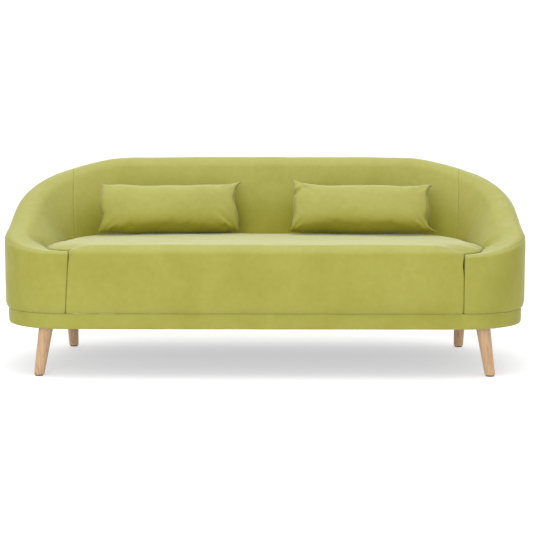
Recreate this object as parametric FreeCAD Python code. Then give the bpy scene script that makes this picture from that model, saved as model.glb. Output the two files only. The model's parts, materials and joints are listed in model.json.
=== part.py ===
"""Three-seat tub sofa on four splayed wooden legs, with two loose lumbar cushions.

Frame of the part: +X to the right of someone who faces the sofa, +Y towards its back, +Z up.
The origin is on the floor, under the middle of the sofa. Lengths are in millimetres.

The arms and the back are one wall that runs round the seat. Every layer of that wall follows
the same outline in plan, so a layer is written as a section, in (inset from the outline,
height), and lofted along the outline between two distances measured from the left front seam.
"""

import FreeCAD
import Part
import bisect
import math
import os
from collections import namedtuple

V = FreeCAD.Vector

# ---- Driving dimensions ----
WIDTH = 1800.0
DEPTH = 800.0
BASE_BOTTOM = 169.0  # underside of the plinth band
BASE_TOP = 222.0  # seam between the plinth band and the body
SEAT_FRONT = 449.0  # height of the seat at its front edge
SEAT_FALL = 0.022  # the seat falls this much per unit of depth
FRONT_ROLL = 28.0  # radius of the seat's front edge
SEAT_DECK = 333.0  # underside of the seat foam
SEAM_X = 648.0  # seam between the seat front and the arm front
FRONT_RADIUS = 235.0
REAR_RADIUS = 380.0
PLINTH_SETBACK = 10.0  # the plinth band sits this far inside the body
PLINTH_SEAM_Y = -75.0  # where the band's front and rear strips meet at the sides

# ---- Layers ----
COVER = 2.0  # velvet
WADDING = 6.5
LAYERS = 10.0  # depth under the cover's face where foam and boards begin
BOARD = 4.0  # fibreboard behind the outer cover
TOP_FOAM = 40.0
PLY = 18.0
PINE = 22.0
FELT = 4.0
FELT_MARGIN = 15.0  # the felt ends this far in front of the rear rail
FIT = 1.5  # clearance between the frame's parts, and between padding and frame
GAP = 2.5  # clearance between the seat and the wall round it

# ---- The wall, at named places along the outline ----
# top: height. crest, foot: thickness at the top and at the seat. outer_r, inner_r: radii of the
# two edges along the top. foam: thickness of the inner padding.
Section = namedtuple("Section", "top crest foot outer_r inner_r foam")
S_CORNER = WIDTH / 2 - FRONT_RADIUS - SEAM_X
FRONT_ARC = FRONT_RADIUS * math.pi / 2
S_SIDE = S_CORNER + FRONT_ARC
S_REAR = S_SIDE + DEPTH - FRONT_RADIUS - REAR_RADIUS
REAR_ARC = REAR_RADIUS * math.pi / 2
S_BACK = S_REAR + REAR_ARC
S_MIDDLE = S_BACK + WIDTH / 2 - REAR_RADIUS
S_END = 2 * S_MIDDLE
S_BLOCK = 150.0  # the arm's front foam block ends here
S_PANEL_SEAM = S_REAR + REAR_ARC * 0.52  # seam between an arm cover and the back cover
WALL = [
    (0.0, Section(430, 34, 38, 10, 12, 12)),
    (S_CORNER + 70.0, Section(433, 54, 62, 12, 16, 14)),
    (S_BLOCK, Section(440, 86, 104, 16, 26, 24)),
    (S_SIDE, Section(495, 104, 152, 34, 40, 34)),
    (S_REAR, Section(571, 106, 176, 42, 46, 38)),
    (S_REAR + REAR_ARC / 2, Section(668, 108, 190, 44, 50, 40)),
    (S_BACK, Section(717, 108, 178, 44, 50, 40)),
    (S_MIDDLE, Section(720, 108, 166, 44, 50, 40)),
]
SHOULDER = 426.0  # height where the sloping inner face of the wall turns upright
SHOULDER_DROP = 6.0  # the shoulder lies at least this far under the inner edge's radius
MIN_OUTER_R = 3.0
MIN_INNER_R = 4.0
SEAM_DROP = 2.0  # the outer cover's top seam lies this far under the outer edge's radius
WALL_FOOT = SEAT_DECK + FELT + 1.0  # the inner layers end here, beside the seat foam
MIN_CAVITY = 12.0  # least width of the hollow inside the wall, at its top
CAVITY_DROP = 20.0  # least height of the hollow's sloping part
GRID_STEP = 40.0  # furthest apart that two sections of a layer stand
GRID_MERGE = 5.0  # a section nearer than this to a panel's end is left out

# ---- Frame of the wall ----
ARM_POST_S = S_BLOCK + 24.0
REAR_POST_S = S_REAR - 40.0
CORNER_POST_S = S_REAR + REAR_ARC * 0.62
BACK_POST_S = S_BACK + 120.0
FRAME_SEAM_S = S_REAR + 30.0  # where the arms' rails and boards meet the back's
POST_FIT = 4 * FIT  # clearance between a post and the foam and rail beside it
HEEL = 70.0  # depth of a post where it stands on the base
BOARD_FIT = 1.0  # between the arm's front foam block and what begins behind it

# ---- Legs and their fixings ----
LEG_TOP_R = 24.5
LEG_FOOT_R = 17.5
FRONT_LEG_TOP = (741.0, -306.0)
FRONT_LEG_FOOT = (765.0, -320.0)
REAR_LEG_TOP = (737.0, 242.0)
REAR_LEG_FOOT = (735.0, 269.0)
GLIDE_R = 14.0
GLIDE_H = 4.0
PLATE = 76.0
PLATE_T = 3.0
BOLT_R = 4.0
BOLT_UP = 16.0
BOLT_DOWN = 40.0
SCREW_R = 2.2
SCREW_HEAD_R = 4.2
SCREW_HEAD_H = 1.6
SCREW_L = 16.0
SCREW_PITCH = 56.0
END_PLATE_X = 500.0  # inner edge of the base's end plates

# ---- Seat suspension ----
RAIL_TOP = 325.0
RAIL_X = 640.0  # inner face of the side rails
REAR_RAIL_Y = 165.0
SPRING_COUNT = 9
SPRING_SPAN = 1060.0
SPRING_R = 1.9
SPRING_LOOPS = 14
SPRING_HALF_WIDTH = 22.0
CLIP = (26.0, 18.0, 5.0)
FRAME_SETBACK = 30.0  # from the front of the body to the front rail of the seat frame
CORNER_BLOCK = 60.0
BLOCK_GAP = 20.0  # a corner block ends this far from the rails' edges
CROSS_RAIL_X = 215.0
DUST = 1.0  # thickness of the cloth under the base
DUST_MARGIN = 6.0
SLIT = 0.5  # between neighbours that meet end to end

# ---- Loose cushions ----
PILLOW_W = 512.0
PILLOW_H = 208.0
PILLOW_T = 104.0
PILLOW_SIDE_PULL = 15.0  # how far the sides pull in between the corners
PILLOW_TOP_PULL = 9.0
PILLOW_CASE = COVER + 1.0  # thickness of the case, and of the case with room round the fill
PILLOW_ROOM = COVER + 1.5
PILLOW_GRID = 12  # spans of the net over each face
# centre x, y, height of the centre above the seat, turn about Z and lean back, in degrees
PILLOWS = {
    "left": (-352.0, 134.0, 101.0, 9.0, 21.0),
    "right": (354.0, 112.0, 101.0, -5.0, 25.0),
}


# ---- The outline and the sections along it ----
def outline(s):
    """Point of the body's outline at distance s from the left front seam, and the inward normal."""
    if s > S_MIDDLE:
        x, y, nx, ny = outline(S_END - s)
        return -x, y, -nx, ny
    front, back = -DEPTH / 2, DEPTH / 2
    if s < S_CORNER:
        return -SEAM_X - s, front, 0.0, 1.0
    if s < S_SIDE:
        a = (s - S_CORNER) / FRONT_RADIUS
        nx, ny = math.sin(a), math.cos(a)
        return -WIDTH / 2 + FRONT_RADIUS * (1 - nx), front + FRONT_RADIUS * (1 - ny), nx, ny
    if s < S_REAR:
        return -WIDTH / 2, front + FRONT_RADIUS + s - S_SIDE, 1.0, 0.0
    if s < S_BACK:
        a = (s - S_REAR) / REAR_RADIUS
        nx, ny = math.cos(a), -math.sin(a)
        return -WIDTH / 2 + REAR_RADIUS * (1 - nx), back - REAR_RADIUS * (1 + ny), nx, ny
    return -WIDTH / 2 + REAR_RADIUS + s - S_BACK, back, 0.0, -1.0


def wall(s):
    """The wall's section at s, on a smooth curve through the named places."""
    s = max(min(s, S_END - s), 0.0)
    places = [place for place, _ in WALL]
    i = min(max(bisect.bisect_right(places, s) - 1, 0), len(WALL) - 2)
    span = places[i + 1] - places[i]
    u = (s - places[i]) / span

    def rise(k, column):
        (a, before), (b, after) = WALL[k], WALL[k + 1]
        return (after[column] - before[column]) / (b - a)

    def slope(k, column):
        """Harmonic mean of the rises on both sides, so that the curve never overshoots."""
        if k == 0 or k == len(WALL) - 1:
            return 0.0
        before, after = rise(k - 1, column), rise(k, column)
        return 2 * before * after / (before + after) if before * after > 0 else 0.0

    def value(column):
        y0, y1 = WALL[i][1][column], WALL[i + 1][1][column]
        m0, m1 = slope(i, column) * span, slope(i + 1, column) * span
        a = 2 * u**3 - 3 * u**2 + 1
        return a * y0 + (u**3 - 2 * u**2 + u) * m0 + (1 - a) * y1 + (u**3 - u**2) * m1

    return Section(*[value(column) for column in range(len(Section._fields))])


def at(s, n, z):
    """Point of space from a point (n, z) of the section at s."""
    x, y, nx, ny = outline(s)
    return V(x + nx * n, y + ny * n, z)


def make_grid(step):
    """Places along the whole outline, with the ends of its arcs and panels among them."""
    bounds = [0.0, S_CORNER, S_BLOCK, S_SIDE, S_REAR, S_PANEL_SEAM, S_BACK, S_MIDDLE]
    half = [0.0]
    for a, b in zip(bounds, bounds[1:]):
        count = max(1, math.ceil((b - a) / step))
        half += [a + (b - a) * k / count for k in range(1, count + 1)]
    return half + [S_END - s for s in reversed(half[:-1])]


GRID = make_grid(GRID_STEP)


def stations(s0, s1):
    """The grid's places between s0 and s1, with both ends."""
    inside = [s for s in GRID if s0 + GRID_MERGE < s < s1 - GRID_MERGE]
    return [s0] + inside + [s1]


def quarter(centre, r, a0, a1):
    """Arc about centre from angle a0 to a1, in degrees, as its ends and middle."""
    points = []
    for a in (a0, (a0 + a1) / 2, a1):
        points.append((centre[0] + r * math.cos(math.radians(a)), centre[1] + r * math.sin(math.radians(a))))
    return tuple(points)


def over_the_top(s, t, z_out, z_in):
    """Edges of the wall's outer surface moved in by t, from z_out outside to z_in inside."""
    w = wall(s)
    top = w.top - t
    ro, ri = max(w.outer_r - t, MIN_OUTER_R), max(w.inner_r - t, MIN_INNER_R)
    crest, foot = w.crest - t, w.foot - t
    shoulder = min(SHOULDER, top - ri - SHOULDER_DROP)
    outer = quarter((t + ro, top - ro), ro, 180.0, 90.0)
    inner = quarter((crest - ri, top - ri), ri, 90.0, 0.0)
    return [
        ((t, z_out), outer[0]),
        outer,
        (outer[-1], inner[0]),
        inner,
        (inner[-1], (foot, shoulder)),
        ((foot, shoulder), (foot, z_in)),
    ]


def closed(edges):
    """The edges, with a line between each end and the next start where they differ."""
    loop = []
    for edge, after in zip(edges, edges[1:] + edges[:1]):
        loop.append(edge)
        if math.dist(edge[-1], after[0]) > 1e-6:
            loop.append((edge[-1], after[0]))
    return loop


def polygon(points):
    return [(a, b) for a, b in zip(points, points[1:] + points[:1])]


def wire(s, section):
    edges = []
    for edge in section(s):
        points = [at(s, n, z) for n, z in edge]
        if len(points) == 3:
            edges.append(Part.Arc(*points).toShape())
        else:
            edges.append(Part.LineSegment(*points).toShape())
    return Part.Wire(edges)


def sweep(section, s0, s1):
    """Solid of the section carried along the outline from s0 to s1."""
    return Part.makeLoft([wire(s, section) for s in stations(s0, s1)], True, True)


def seam_height(s):
    """Height of the seam between the outer cover and the cover that goes over the top."""
    w = wall(s)
    return w.top - w.outer_r - SEAM_DROP


def skin(t0, t1, z_out):
    """Section of a layer that wraps the wall, from depth t0 to depth t1."""

    def section(s):
        outer = over_the_top(s, t0, z_out(s), WALL_FOOT)
        inner = over_the_top(s, t1, z_out(s), WALL_FOOT)
        back = [tuple(reversed(edge)) for edge in reversed(inner)]
        return closed(outer + back)

    return section


def core(s):
    """Corners of the hollow inside the wall: inner foam's back, and the foam's underside."""
    w = wall(s)
    foot = w.foot - LAYERS - w.foam
    crest = max(w.crest - LAYERS - w.foam, LAYERS + BOARD + MIN_CAVITY)
    under = w.top - LAYERS - TOP_FOAM
    shoulder = min(SHOULDER, under - CAVITY_DROP)
    return foot, crest, under, shoulder


# ---- Legs ----
def leg_places():
    for side, sx in (("left", -1), ("right", 1)):
        yield "front_" + side, sx, FRONT_LEG_TOP, FRONT_LEG_FOOT
        yield "rear_" + side, sx, REAR_LEG_TOP, REAR_LEG_FOOT


def frustum(a, b, ra, rb):
    """Round taper from a to b whose ends are level."""
    rings = [Part.Wire(Part.makeCircle(r, p, V(0, 0, 1))) for p, r in ((a, ra), (b, rb))]
    return Part.makeLoft(rings, True, True)


def legs():
    plate_bottom = BASE_BOTTOM - PLATE_T
    groups = {"leg_glides": [], "hanger_bolts": [], "leg_plates": [], "plate_screws": []}
    for name, sx, top, foot in leg_places():
        a = V(sx * top[0], top[1], plate_bottom)
        b = V(sx * foot[0], foot[1], GLIDE_H)
        bolt = Part.makeCylinder(BOLT_R, BOLT_UP + BOLT_DOWN, a - V(0, 0, BOLT_DOWN))
        leg = frustum(b, a, LEG_FOOT_R, LEG_TOP_R).cut(bolt)
        yield "leg_" + name, leg
        groups["leg_glides"].append(Part.makeCylinder(GLIDE_R, GLIDE_H, b - V(0, 0, GLIDE_H)))
        groups["hanger_bolts"].append(bolt)
        plate = Part.makeBox(PLATE, PLATE, PLATE_T, a - V(PLATE / 2, PLATE / 2, 0)).cut(bolt)
        for dx in (-1, 1):
            for dy in (-1, 1):
                p = a + V(dx, dy, 0) * (SCREW_PITCH / 2)
                head = Part.makeCylinder(SCREW_HEAD_R, SCREW_HEAD_H, p - V(0, 0, SCREW_HEAD_H))
                screw = head.fuse(Part.makeCylinder(SCREW_R, SCREW_L, p))
                plate = plate.cut(screw)
                groups["plate_screws"].append(screw)
        groups["leg_plates"].append(plate)
    for name, solids in groups.items():
        yield name, Part.makeCompound(solids)


# ---- Base ----
def both_sides(name, shape):
    yield name + "_left", shape
    yield name + "_right", shape.mirror(V(0, 0, 0), V(1, 0, 0))


def rounded_plan(inset, z, height):
    """Solid with the whole outline in plan, inset all round."""
    edges = []
    knots = [-SEAM_X, S_CORNER, S_SIDE, S_REAR, S_BACK, S_MIDDLE]
    for a, b in zip(knots, knots[1:]):
        p, q, m = at(a, inset, z), at(b, inset, z), at((a + b) / 2, inset, z)
        straight = (p + q).multiply(0.5).distanceToPoint(m) < 1e-6
        edges.append(Part.LineSegment(p, q).toShape() if straight else Part.Arc(p, m, q).toShape())
    half = Part.Wire(edges)
    other = half.mirror(V(0, 0, 0), V(1, 0, 0))
    loop = Part.Wire(Part.__sortEdges__(half.Edges + other.Edges))
    return Part.Face(loop).extrude(V(0, 0, height))


def ring_plan(inset, thickness, z, height):
    """Upright hoop that follows the whole outline."""
    return rounded_plan(inset, z, height).cut(rounded_plan(inset + thickness, z, height))


def cut_for(shape, tools):
    for tool in tools:
        shape = shape.cut(tool)
    return shape


def fixings():
    """Everything that goes up through the base, as cutting tools."""
    tools = []
    for _, sx, top, _ in leg_places():
        p = V(sx * top[0], top[1], BASE_BOTTOM - PLATE_T)
        tools.append(Part.makeCylinder(BOLT_R, BOLT_UP, p))
        for dx in (-1, 1):
            for dy in (-1, 1):
                q = p + V(dx, dy, 0) * (SCREW_PITCH / 2)
                tools.append(Part.makeCylinder(SCREW_R, SCREW_L, q))
    return tools


def base():
    inset = PLINTH_SETBACK + COVER
    bottom = BASE_BOTTOM + DUST
    holes = fixings()
    plan = rounded_plan(inset, bottom, PLY)
    end = plan.common(Part.makeBox(WIDTH / 2, DEPTH, PLY, V(-WIDTH / 2 - END_PLATE_X, -DEPTH / 2, bottom)))
    left_end = cut_for(end, holes)
    yield from both_sides("base_end_plate", left_end)
    rise = BASE_TOP - bottom - PLY
    hoop = ring_plan(inset, PINE, bottom + PLY, rise)
    left = Part.makeBox(WIDTH, DEPTH, rise, V(-WIDTH - END_PLATE_X, -DEPTH / 2, bottom + PLY))
    yield from both_sides("base_rim", hoop.common(left))
    height = BASE_TOP - bottom
    length = 2 * END_PLATE_X
    front = -DEPTH / 2 + inset
    rails = [Part.makeBox(length, PINE, height, V(-END_PLATE_X, y, bottom)) for y in (front, -front - PINE)]
    yield "base_long_rails", Part.makeCompound(rails)
    crossing = DEPTH - 2 * (inset + PINE)
    places = (-CROSS_RAIL_X, CROSS_RAIL_X)
    cross = [Part.makeBox(2 * PINE, crossing, height, V(x - PINE, front + PINE, bottom)) for x in places]
    yield "base_cross_rails", Part.makeCompound(cross)
    sheet = rounded_plan(inset + DUST_MARGIN, BASE_BOTTOM, DUST)
    yield "dust_cover", cut_for(sheet, holes)


# ---- Seat frame and suspension ----
def seat_frame():
    height = RAIL_TOP - BASE_TOP
    front = -DEPTH / 2 + FRAME_SETBACK
    width = 2 * RAIL_X
    rail = Part.makeBox(width, PINE, height, V(-RAIL_X, front, BASE_TOP))
    yield "seat_front_rail", rail
    yield "seat_rear_rail", Part.makeBox(width, PINE, height, V(-RAIL_X, REAR_RAIL_Y, BASE_TOP))
    foot = BASE_BOTTOM + DUST + PLY
    length = REAR_RAIL_Y + PINE - front
    side = Part.makeBox(PINE, length, RAIL_TOP - foot, V(-RAIL_X - PINE, front, foot))
    rim_back = -DEPTH / 2 + PLINTH_SETBACK + COVER + PINE
    notch = rim_back + FIT - front
    side = side.cut(Part.makeBox(PINE, notch, BASE_TOP - foot, V(-RAIL_X - PINE, front, foot)))
    yield from both_sides("seat_side_rail", side)
    block = Part.makeBox(CORNER_BLOCK, CORNER_BLOCK, height - 2 * BLOCK_GAP)
    corners = []
    for x in (-RAIL_X, RAIL_X - CORNER_BLOCK):
        for y in (front + PINE, REAR_RAIL_Y - CORNER_BLOCK):
            corners.append(block.translated(V(x, y, BASE_TOP + BLOCK_GAP)))
    yield "corner_blocks", Part.makeCompound(corners)


def spring(x):
    """One sinuous spring from the front rail to the rear rail."""
    front, back = -DEPTH / 2 + FRAME_SETBACK + PINE / 2, REAR_RAIL_Y + PINE / 2
    pitch = (back - front) / SPRING_LOOPS
    r = pitch / 2
    z = RAIL_TOP + SPRING_R
    reach = SPRING_HALF_WIDTH - r
    edges = [Part.LineSegment(V(x, front, z), V(x + reach, front, z)).toShape()]
    side = 1
    for k in range(SPRING_LOOPS):
        y = front + k * pitch
        edge = x + side * reach
        middle = V(edge + side * r, y + r, z)
        edges.append(Part.Arc(V(edge, y, z), middle, V(edge, y + pitch, z)).toShape())
        end = x if k == SPRING_LOOPS - 1 else x - side * reach
        edges.append(Part.LineSegment(V(edge, y + pitch, z), V(end, y + pitch, z)).toShape())
        side = -side
    path = Part.Wire(edges)
    ring = Part.Wire(Part.makeCircle(SPRING_R, V(x, front, z), V(1, 0, 0)))
    return path.makePipeShell([ring], True, False)


def suspension():
    step = SPRING_SPAN / (SPRING_COUNT - 1)
    places = [-SPRING_SPAN / 2 + k * step for k in range(SPRING_COUNT)]
    springs = [spring(x) for x in places]
    yield "seat_springs", Part.makeCompound(springs)
    clips = []
    for x, one in zip(places, springs):
        for y in (-DEPTH / 2 + FRAME_SETBACK + PINE / 2, REAR_RAIL_Y + PINE / 2):
            corner = V(x - CLIP[0] / 2, y - CLIP[1] / 2, RAIL_TOP)
            clips.append(Part.makeBox(*CLIP, corner).cut(one))
    yield "spring_clips", Part.makeCompound([solid for clip in clips for solid in clip.Solids])


# ---- Seat ----
def seat_plan(t, z):
    """Face of the seat in plan, inset by t."""
    points = [at(s, wall(s).foot + GAP + t, z) for s in stations(0.0, S_END)]
    x = SEAM_X - GAP - t
    points += [V(x, -DEPTH / 2 + t, z), V(-x, -DEPTH / 2 + t, z)]
    return Part.Face(Part.makePolygon(points + points[:1]))


def seat_top(y):
    return SEAT_FRONT - SEAT_FALL * (y + DEPTH / 2)


def seat_body(t):
    """The seat, inset by t on its outer faces: the block and the apron below its front."""
    block = seat_plan(t, SEAT_DECK + FELT).extrude(V(0, 0, SEAT_FRONT - SEAT_DECK))
    lid = Part.makeBox(2 * WIDTH, 2 * DEPTH, SEAT_FRONT - SEAT_DECK, V(-WIDTH, -DEPTH / 2, 0))
    lid.rotate(V(0, 0, 0), V(1, 0, 0), -math.degrees(math.atan(SEAT_FALL)))
    lid.translate(V(0, -DEPTH / 2, SEAT_FRONT - t))
    block = block.cut(lid)
    roll = [e for e in block.Edges if e.BoundBox.YMax < t - DEPTH / 2 + 0.1 and e.BoundBox.ZMin > SHOULDER]
    block = block.makeFillet(FRONT_ROLL - t, roll)
    x = SEAM_X - GAP - t
    rise = SEAT_DECK + FELT - BASE_TOP
    apron = Part.makeBox(2 * x, FRAME_SETBACK - t, rise, V(-x, -DEPTH / 2 + t, BASE_TOP))
    return block, apron


def seat():
    bodies = {t: seat_body(t) for t in (0.0, COVER, COVER + WADDING, LAYERS)}
    whole = {t: block.fuse(apron) for t, (block, apron) in bodies.items()}
    yield "seat_cover", whole[0.0].cut(whole[COVER])
    yield "seat_wadding", whole[COVER].cut(whole[COVER + WADDING])
    foam, pad = bodies[LAYERS]
    yield "seat_foam", foam
    yield "seat_front_pad", pad
    front = -DEPTH / 2 + FRAME_SETBACK
    corner = V(-SPRING_SPAN / 2 - CLIP[0], front, SEAT_DECK)
    yield "seat_felt", Part.makeBox(-2 * corner.x, REAR_RAIL_Y - FELT_MARGIN - front, FELT, corner)


# ---- Wall: frame, boards, foam, wadding and covers ----
def post(s):
    """Upright ply rib across the wall at s, with a heel that stands on the base."""
    foot, crest, under, shoulder = core(s)
    top = under - PLY - POST_FIT
    share = (top - shoulder) / (under - shoulder)
    back = foot - POST_FIT
    neck = back + (crest - foot) * share
    outer = LAYERS + BOARD + FIT
    heel = min(outer + HEEL, back)
    section = [(outer, BASE_TOP), (outer, top)]
    section += [(neck, top), (back, shoulder)] if top > shoulder else [(back, top)]
    if back - heel > FIT:
        section += [(back, WALL_FOOT), (heel, WALL_FOOT)]
    section.append((heel, BASE_TOP))
    _, _, nx, ny = outline(s)
    along = V(-ny, nx, 0) * PLY
    points = [at(s, n, z) - along * 0.5 for n, z in section]
    return Part.Face(Part.makePolygon(points + points[:1])).extrude(along)


def wall_frame():
    outer = LAYERS + BOARD
    places = {
        "arm_front_post": ARM_POST_S,
        "arm_rear_post": REAR_POST_S,
        "corner_post": CORNER_POST_S,
    }
    for name, s in places.items():
        yield from both_sides(name, post(s))
    places = (BACK_POST_S, S_MIDDLE, S_END - BACK_POST_S)
    yield "back_posts", Part.makeCompound([post(s) for s in places])

    def rail(s):
        _, crest, under, _ = core(s)
        low, high, inner = under - PLY - FIT, under - FIT, crest - 2 * FIT
        return polygon([(outer + FIT, low), (outer + FIT, high), (inner, high), (inner, low)])

    seam = FRAME_SEAM_S
    yield from both_sides("arm_top_rail", sweep(rail, S_BLOCK + 2 * BOARD_FIT, seam))
    yield "back_top_rail", sweep(rail, seam + SLIT, S_END - seam - SLIT)

    def board(s):
        _, _, under, _ = core(s)
        top = under - FIT
        return polygon([(LAYERS, BASE_TOP), (LAYERS, top), (outer, top), (outer, BASE_TOP)])

    yield from both_sides("arm_outer_board", sweep(board, S_BLOCK + BOARD_FIT, seam))
    yield "back_outer_board", sweep(board, seam + SLIT, S_END - seam - SLIT)


def foam_section(s):
    foot, crest, under, shoulder = core(s)
    outer = over_the_top(s, LAYERS, under, WALL_FOOT)
    back = [
        ((foot, WALL_FOOT), (foot, shoulder)),
        ((foot, shoulder), (crest, under)),
    ]
    return closed(outer + back)


def block_section(s):
    return closed(over_the_top(s, LAYERS, BASE_TOP, BASE_TOP))


def wall_padding():
    yield from both_sides("arm_front_foam", sweep(block_section, 0.0, S_BLOCK))
    yield from both_sides("arm_foam", sweep(foam_section, S_BLOCK + BOARD_FIT, S_REAR))
    yield "back_foam", sweep(foam_section, S_REAR + SLIT, S_END - S_REAR - SLIT)

    def base_seam(_):
        return BASE_TOP

    layer = skin(COVER, COVER + WADDING, base_seam)
    yield from both_sides("arm_wadding", sweep(layer, 0.0, S_PANEL_SEAM))
    yield "back_wadding", sweep(layer, S_PANEL_SEAM + SLIT, S_END - S_PANEL_SEAM - SLIT)


def wall_covers():
    def outside(s):
        return polygon([(0, BASE_TOP), (0, seam_height(s)), (COVER, seam_height(s)), (COVER, BASE_TOP)])

    inside = skin(0.0, COVER, seam_height)
    yield from both_sides("outer_arm_cover", sweep(outside, 0.0, S_PANEL_SEAM))
    yield "outer_back_cover", sweep(outside, S_PANEL_SEAM + SLIT, S_END - S_PANEL_SEAM - SLIT)
    yield from both_sides("inner_arm_cover", sweep(inside, 0.0, S_PANEL_SEAM))
    yield "inner_back_cover", sweep(inside, S_PANEL_SEAM + SLIT, S_END - S_PANEL_SEAM - SLIT)


def plinth_bands():
    height = BASE_TOP - BASE_BOTTOM
    ring = ring_plan(PLINTH_SETBACK, COVER, BASE_BOTTOM, height)
    front = Part.makeBox(2 * WIDTH, DEPTH, height, V(-WIDTH, PLINTH_SEAM_Y - DEPTH, BASE_BOTTOM))
    rear = Part.makeBox(2 * WIDTH, DEPTH, height, V(-WIDTH, PLINTH_SEAM_Y + SLIT, BASE_BOTTOM))
    yield "plinth_front_band", ring.common(front)
    yield "plinth_rear_band", ring.common(rear)


# ---- Loose cushions ----
def pillow_body(shrink):
    """Closed cushion about the origin: width along X, height along Z, thickness along Y."""
    count = PILLOW_GRID

    def grid(sign):
        rows = []
        for i in range(count + 1):
            row = []
            for j in range(count + 1):
                u = -math.cos(math.pi * i / count)
                v = -math.cos(math.pi * j / count)
                x = u * (PILLOW_W / 2 - shrink) - PILLOW_SIDE_PULL * (1 - v * v) * u
                z = v * (PILLOW_H / 2 - shrink) - PILLOW_TOP_PULL * (1 - u * u) * v
                y = sign * (PILLOW_T / 2 - shrink) * math.sqrt(max(0.0, (1 - u**4) * (1 - v * v)))
                row.append(V(x, y, z))
            rows.append(row)
        surface = Part.BSplineSurface()
        surface.interpolate(rows)
        return surface.toShape()

    shell = Part.makeShell([grid(1), grid(-1)])
    shell.sewShape()
    return Part.Solid(shell)


def pillows():
    case = pillow_body(0.0).cut(pillow_body(PILLOW_CASE))
    fill = pillow_body(PILLOW_ROOM)
    for side, (x, y, rise, turn, lean) in PILLOWS.items():
        z = seat_top(y) + rise
        for name, shape in (("cover", case), ("fill", fill)):
            placed = shape.copy()
            placed.rotate(V(0, 0, 0), V(1, 0, 0), -lean)
            placed.rotate(V(0, 0, 0), V(0, 0, 1), turn)
            placed.translate(V(x, y, z))
            yield "pillow_%s_%s" % (side, name), placed


def main():
    os.makedirs("parts", exist_ok=True)
    groups = (
        legs, base, seat_frame, suspension, seat,
        wall_frame, wall_padding, wall_covers, plinth_bands, pillows,
    )
    for group in groups:
        for name, shape in group():
            shape.exportStep("parts/%s.step" % name)
            box = shape.BoundBox
            print(
                "%-22s %s solids %2d faces %4d volume %8.3f l z %6.1f %6.1f"
                % (name, "ok " if shape.isValid() else "BAD", len(shape.Solids), len(shape.Faces),
                   shape.Volume / 1e6, box.ZMin, box.ZMax)
            )


main()
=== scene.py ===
"""Looks of a curved-back velvet sofa: covers, plinth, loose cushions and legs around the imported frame.

Metres, in the frame's own axes: +X right, +Y back, +Z up, the floor at z = 0.

The arms and the back are one padded wall. Its covers are grids over s, the distance along the
outline in plan from the left front seam, and over the wall's section. Sewn edges dip into a
groove and turn inwards, so every panel closes against its neighbour.
"""

import bpy
import json
import math
import numpy as np
from mathutils import Euler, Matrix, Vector, noise


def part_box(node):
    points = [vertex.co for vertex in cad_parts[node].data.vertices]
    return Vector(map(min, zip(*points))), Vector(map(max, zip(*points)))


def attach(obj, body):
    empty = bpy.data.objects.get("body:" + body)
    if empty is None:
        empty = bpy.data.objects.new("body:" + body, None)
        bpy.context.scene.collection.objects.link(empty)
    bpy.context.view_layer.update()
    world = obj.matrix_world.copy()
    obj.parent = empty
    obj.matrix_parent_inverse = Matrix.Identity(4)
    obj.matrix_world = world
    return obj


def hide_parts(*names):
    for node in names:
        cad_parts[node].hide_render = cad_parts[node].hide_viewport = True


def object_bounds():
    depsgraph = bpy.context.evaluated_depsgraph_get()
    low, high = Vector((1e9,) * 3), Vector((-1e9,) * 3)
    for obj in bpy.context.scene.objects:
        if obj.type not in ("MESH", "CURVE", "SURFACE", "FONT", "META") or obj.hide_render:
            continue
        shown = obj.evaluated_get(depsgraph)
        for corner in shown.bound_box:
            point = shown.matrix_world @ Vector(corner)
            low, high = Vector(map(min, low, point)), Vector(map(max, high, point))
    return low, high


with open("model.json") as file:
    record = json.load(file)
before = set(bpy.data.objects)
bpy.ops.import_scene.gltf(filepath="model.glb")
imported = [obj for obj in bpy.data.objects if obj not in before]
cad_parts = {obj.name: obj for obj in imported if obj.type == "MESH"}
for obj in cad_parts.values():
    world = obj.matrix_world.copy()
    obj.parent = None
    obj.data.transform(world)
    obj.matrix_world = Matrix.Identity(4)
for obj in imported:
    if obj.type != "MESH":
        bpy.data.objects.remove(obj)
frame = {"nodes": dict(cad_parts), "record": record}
cad_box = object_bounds()

# ---- Sizes taken from the frame ----
LOW, HIGH = Vector(cad_box[0]), Vector(cad_box[1])
WIDTH = HIGH.x - LOW.x
DEPTH = HIGH.y - LOW.y
BASE_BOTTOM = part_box("plinth_front_band")[0].z
BASE_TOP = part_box("plinth_front_band")[1].z
PLINTH_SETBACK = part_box("plinth_front_band")[0].y - LOW.y
SEAM_X = -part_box("arm_front_foam_left")[1].x

# ---- The wall's outline and sections ----
FRONT_RADIUS = 0.235
REAR_RADIUS = 0.380
S_CORNER = WIDTH / 2 - FRONT_RADIUS - SEAM_X
S_SIDE = S_CORNER + FRONT_RADIUS * math.pi / 2
S_REAR = S_SIDE + DEPTH - FRONT_RADIUS - REAR_RADIUS
REAR_ARC = REAR_RADIUS * math.pi / 2
S_BACK = S_REAR + REAR_ARC
S_MIDDLE = S_BACK + WIDTH / 2 - REAR_RADIUS
S_END = 2 * S_MIDDLE
S_BLOCK = 0.150
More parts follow.
